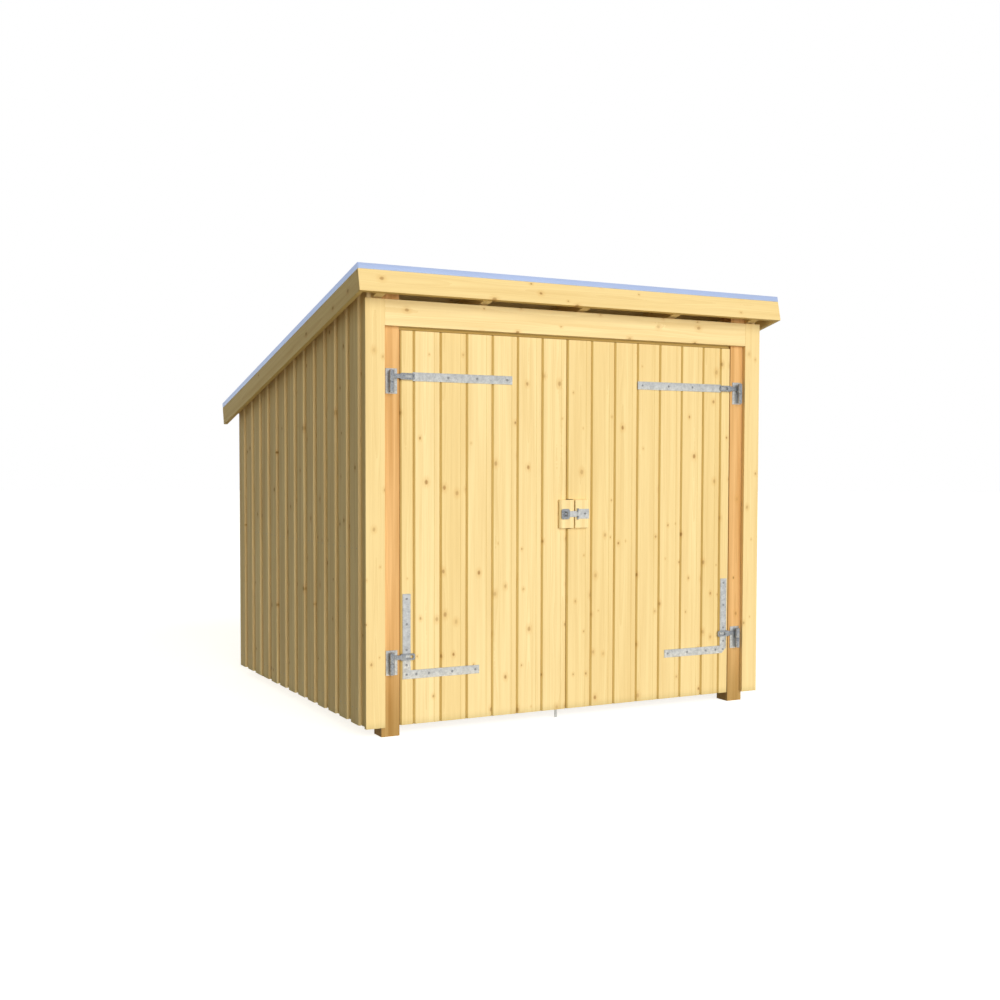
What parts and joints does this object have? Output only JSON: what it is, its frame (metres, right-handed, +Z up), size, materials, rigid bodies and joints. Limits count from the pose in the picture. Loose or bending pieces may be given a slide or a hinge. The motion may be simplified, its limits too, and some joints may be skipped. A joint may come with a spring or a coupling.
{
  "type": "bike shelter with double doors",
  "caption": "Closed lean-to bike shelter of timber boards: sloping felt roof with metal edging, strap-hinged double doors, padlock hasp and drop bolt.",
  "frame": {"origin": "on the ground, under the centre of the whole outline", "axes": "+Z up, +X to the right across the front, the front and its doors face -Y, the roof falls towards +Y"},
  "size_m": [2.346, 2.2798, 2.1288],
  "materials": {
    "planed_timber": "planed untreated softwood, small brown knots",
    "post_timber": "planed laminated post timber, warmer than the boards",
    "cladding": "planed untreated softwood boards lapped board on board",
    "deck_board": "rough roof boarding",
    "felt": "slate-surfaced roofing felt",
    "edge_metal": "pale blue-grey coated sheet",
    "galvanised": "galvanised steel"
  },
  "bodies": {
    "shelter": {"front_left_post": "post_timber", "front_right_post": "post_timber", "back_left_post": "post_timber", "back_right_post": "post_timber", "left_wall": "cladding", "right_wall": "cladding", "back_wall": "cladding", "left_wall_rails": "planed_timber", "right_wall_rails": "planed_timber", "back_wall_rails": "planed_timber", "left_corner_board": "planed_timber", "right_corner_board": "planed_timber", "front_header": "planed_timber", "front_beam": "planed_timber", "back_beam": "planed_timber", "left_end_rafter": "planed_timber", "right_end_rafter": "planed_timber", "middle_rafters": "planed_timber", "front_fascia": "planed_timber", "back_fascia": "planed_timber", "left_bargeboard": "planed_timber", "right_bargeboard": "planed_timber", "roof_deck": "deck_board", "roofing_felt": "felt", "front_edge_trim": "edge_metal", "back_edge_trim": "edge_metal", "left_edge_trim": "edge_metal", "right_edge_trim": "edge_metal", "left_pintles": "galvanised", "right_pintles": "galvanised"},
    "left_door": {"left_leaf_boards": "planed_timber", "left_leaf_ledges": "planed_timber", "left_upper_strap": "galvanised", "left_lower_strap": "galvanised", "left_latch_block": "planed_timber", "hasp_staple": "galvanised", "bolt_guides": "galvanised"},
    "right_door": {"right_leaf_boards": "planed_timber", "right_leaf_ledges": "planed_timber", "right_upper_strap": "galvanised", "right_lower_strap": "galvanised", "right_latch_block": "planed_timber", "hasp_plate": "galvanised"},
    "hasp_flap": {"hasp_flap": "galvanised"},
    "drop_bolt": {"drop_bolt": "galvanised"}
  },
  "joints": [
    {"name": "left_door_hinge", "type": "hinge", "parent": "shelter", "child": "left_door", "pos_m": [-0.9845, -1.0469, 1], "axis": [0, 0, -1], "range_deg": [0, 170]},
    {"name": "right_door_hinge", "type": "hinge", "parent": "shelter", "child": "right_door", "pos_m": [0.9845, -1.0469, 1], "axis": [0, 0, 1], "range_deg": [0, 170]},
    {"name": "hasp_hinge", "type": "hinge", "parent": "right_door", "child": "hasp_flap", "pos_m": [-0.003, -1.0499, 1.006], "axis": [0, 0, 1], "range_deg": [0, 170]},
    {"name": "drop_bolt_slide", "type": "slide", "parent": "left_door", "child": "drop_bolt", "axis": [0, 0, 1], "range_m": [0, 0.06]}
  ]
}
